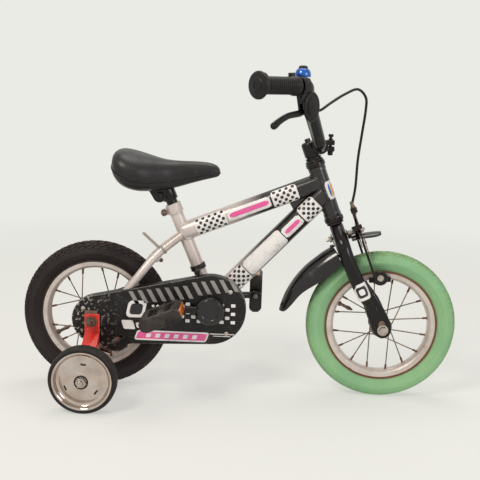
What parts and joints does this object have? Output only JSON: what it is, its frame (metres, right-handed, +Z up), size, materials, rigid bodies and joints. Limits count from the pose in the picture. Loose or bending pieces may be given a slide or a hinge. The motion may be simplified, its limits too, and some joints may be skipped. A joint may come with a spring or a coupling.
{
  "type": "kids bicycle",
  "caption": "Small bicycle with training wheels, full chain guard, side-pull front brake, swept handlebar with bell, padded saddle and knobby pedals.",
  "frame": {"origin": "on the ground, midway between the two axles", "axes": "+X forward, +Y to the rider's left, +Z up"},
  "size_m": [0.864, 0.4962, 0.642],
  "materials": {
    "silver_paint": "metallic silver paint, lightly scratched",
    "black_paint": "gloss black paint",
    "black_plastic": "moulded black plastic",
    "black_vinyl": "soft black vinyl",
    "black_rubber": "brake rubber",
    "black_tyre": "worn black-brown tyre rubber",
    "green_tyre": "mint green tyre rubber, dirty tread",
    "rim_steel": "zinc-plated steel with rust lines",
    "spoke_steel": "plated steel, rusty nipples",
    "chrome": "chromed pressed steel",
    "zinc": "zinc-plated steel, rusty",
    "chain_steel": "oily chain steel",
    "red_paint": "bright red paint",
    "blue_metal": "metallic blue",
    "grey_plastic": "light grey plastic"
  },
  "bodies": {
    "frame": {"main_frame": "silver_paint", "headset_lower_cup": "black_paint", "headset_upper_cup": "black_paint", "seat_collar": "zinc", "seat_collar_bolt": "zinc", "bb_cup_right": "zinc", "bb_cup_left": "zinc", "chain_guard": "black_plastic", "guard_strap": "black_plastic", "chain": "chain_steel", "rear_axle": "zinc", "training_bracket_right": "red_paint", "training_bracket_left": "red_paint", "coaster_brake_arm": "zinc", "coaster_arm_clip": "zinc", "bridge_bolt": "zinc", "cable_tie": "grey_plastic"},
    "rear_wheel": {"rear_tyre": "black_tyre", "rear_rim": "rim_steel", "rear_hub": "spoke_steel"},
    "sprocket": {"rear_sprocket": "zinc"},
    "crankset": {"crank": "black_paint", "chainring": "zinc", "crank_cap": "black_plastic", "pedal_spindle_right": "zinc", "pedal_spindle_left": "zinc"},
    "pedal_r": {"pedal_right": "black_plastic"},
    "pedal_l": {"pedal_left": "black_plastic"},
    "training_wheel_r": {"training_tyre_right": "black_tyre", "training_disc_right": "chrome"},
    "training_wheel_l": {"training_tyre_left": "black_tyre", "training_disc_left": "chrome"},
    "steerer": {"fork": "black_paint", "headset_locknut": "black_paint", "front_axle": "zinc", "mudguard_rear": "black_plastic", "mudguard_front": "black_plastic", "brake_pivot_bolt": "zinc"},
    "cockpit": {"stem": "black_paint", "stem_clamp_bolt": "black_paint", "handlebar": "black_paint", "grip_right": "black_vinyl", "grip_left": "black_vinyl", "brake_lever_bracket": "black_plastic", "brake_cable": "black_plastic", "bell_base": "black_plastic", "bell_dome": "blue_metal"},
    "lever": {"brake_lever": "black_plastic"},
    "bell_trigger": {"bell_lever": "black_plastic"},
    "caliper_r": {"caliper_arm_right": "black_paint", "brake_pad_right": "black_rubber"},
    "caliper_l": {"caliper_arm_left": "black_paint", "brake_pad_left": "black_rubber"},
    "front_wheel": {"front_tyre": "green_tyre", "front_rim": "rim_steel", "front_hub": "spoke_steel"},
    "post": {"seat_post": "zinc", "saddle_clamp": "zinc"},
    "seat": {"saddle_frame": "zinc", "saddle": "black_vinyl"}
  },
  "joints": [
    {"name": "steering", "type": "hinge", "parent": "frame", "child": "steerer", "pos_m": [0.1794, 0, 0.3627], "axis": [-0.3616, 0, 0.9323], "range_deg": [-90, 90]},
    {"name": "front_wheel_spin", "type": "hinge", "parent": "steerer", "child": "front_wheel", "pos_m": [0.284, 0, 0.148], "axis": [0, 1, 0], "continuous": true},
    {"name": "rear_wheel_spin", "type": "hinge", "parent": "frame", "child": "rear_wheel", "pos_m": [-0.284, 0, 0.148], "axis": [0, 1, 0], "continuous": true},
    {"name": "crank_spin", "type": "hinge", "parent": "frame", "child": "crankset", "pos_m": [-0.05199, 0, 0.179], "axis": [0, 1, 0], "continuous": true, "deforming": ["chain"]},
    {"name": "sprocket_spin", "type": "hinge", "parent": "frame", "child": "sprocket", "pos_m": [-0.284, 0, 0.148], "axis": [0, 1, 0], "continuous": true},
    {"name": "pedal_right_spin", "type": "hinge", "parent": "crankset", "child": "pedal_r", "pos_m": [-0.13687, -0.08, 0.18345], "axis": [0, 1, 0], "continuous": true},
    {"name": "pedal_left_spin", "type": "hinge", "parent": "crankset", "child": "pedal_l", "pos_m": [0.0329, 0.08, 0.17455], "axis": [0, 1, 0], "continuous": true},
    {"name": "training_wheel_right_spin", "type": "hinge", "parent": "frame", "child": "training_wheel_r", "pos_m": [-0.279, -0.173, 0.064], "axis": [0, 1, 0], "continuous": true},
    {"name": "training_wheel_left_spin", "type": "hinge", "parent": "frame", "child": "training_wheel_l", "pos_m": [-0.279, 0.173, 0.064], "axis": [0, 1, 0], "continuous": true},
    {"name": "stem_height", "type": "slide", "parent": "steerer", "child": "cockpit", "axis": [-0.3616, 0, 0.9323], "range_m": [0, 0.03], "deforming": ["brake_cable"]},
    {"name": "brake_lever_pull", "type": "hinge", "parent": "cockpit", "child": "lever", "pos_m": [0.1123, -0.15252, 0.574], "axis": [-0.682, 0.7314, 0], "range_deg": [0, 22], "stiffness_Nm_per_rad": 0.6, "springref_deg": -8.59},
    {"name": "bell_lever_flick", "type": "hinge", "parent": "cockpit", "child": "bell_trigger", "pos_m": [0.104, -0.136, 0.6253], "axis": [0, 0, 1], "range_deg": [-30, 0], "stiffness_Nm_per_rad": 0.05, "springref_deg": 11.46},
    {"name": "caliper_right_close", "type": "hinge", "parent": "steerer", "child": "caliper_r", "pos_m": [0.19495, 0, 0.32261], "axis": [0.9323, 0, 0.3616], "range_deg": [0, 1.15]},
    {"name": "caliper_left_close", "type": "hinge", "parent": "steerer", "child": "caliper_l", "pos_m": [0.19495, 0, 0.32261], "axis": [-0.9323, 0, -0.3616], "range_deg": [0, 1.15]},
    {"name": "seat_height", "type": "slide", "parent": "frame", "child": "post", "axis": [-0.3907, 0, 0.9205], "range_m": [-0.008, 0.06]},
    {"name": "saddle_tilt", "type": "hinge", "parent": "post", "child": "seat", "pos_m": [-0.1589, 0, 0.3924], "axis": [0, 1, 0], "range_deg": [-12, 12]}
  ],
  "couplings": [
    {"joint": "sprocket_spin", "follows": "crank_spin", "ratio": 1.5556},
    {"joint": "caliper_right_close", "follows": "brake_lever_pull", "ratio": 0.052},
    {"joint": "caliper_left_close", "follows": "brake_lever_pull", "ratio": 0.052}
  ]
}
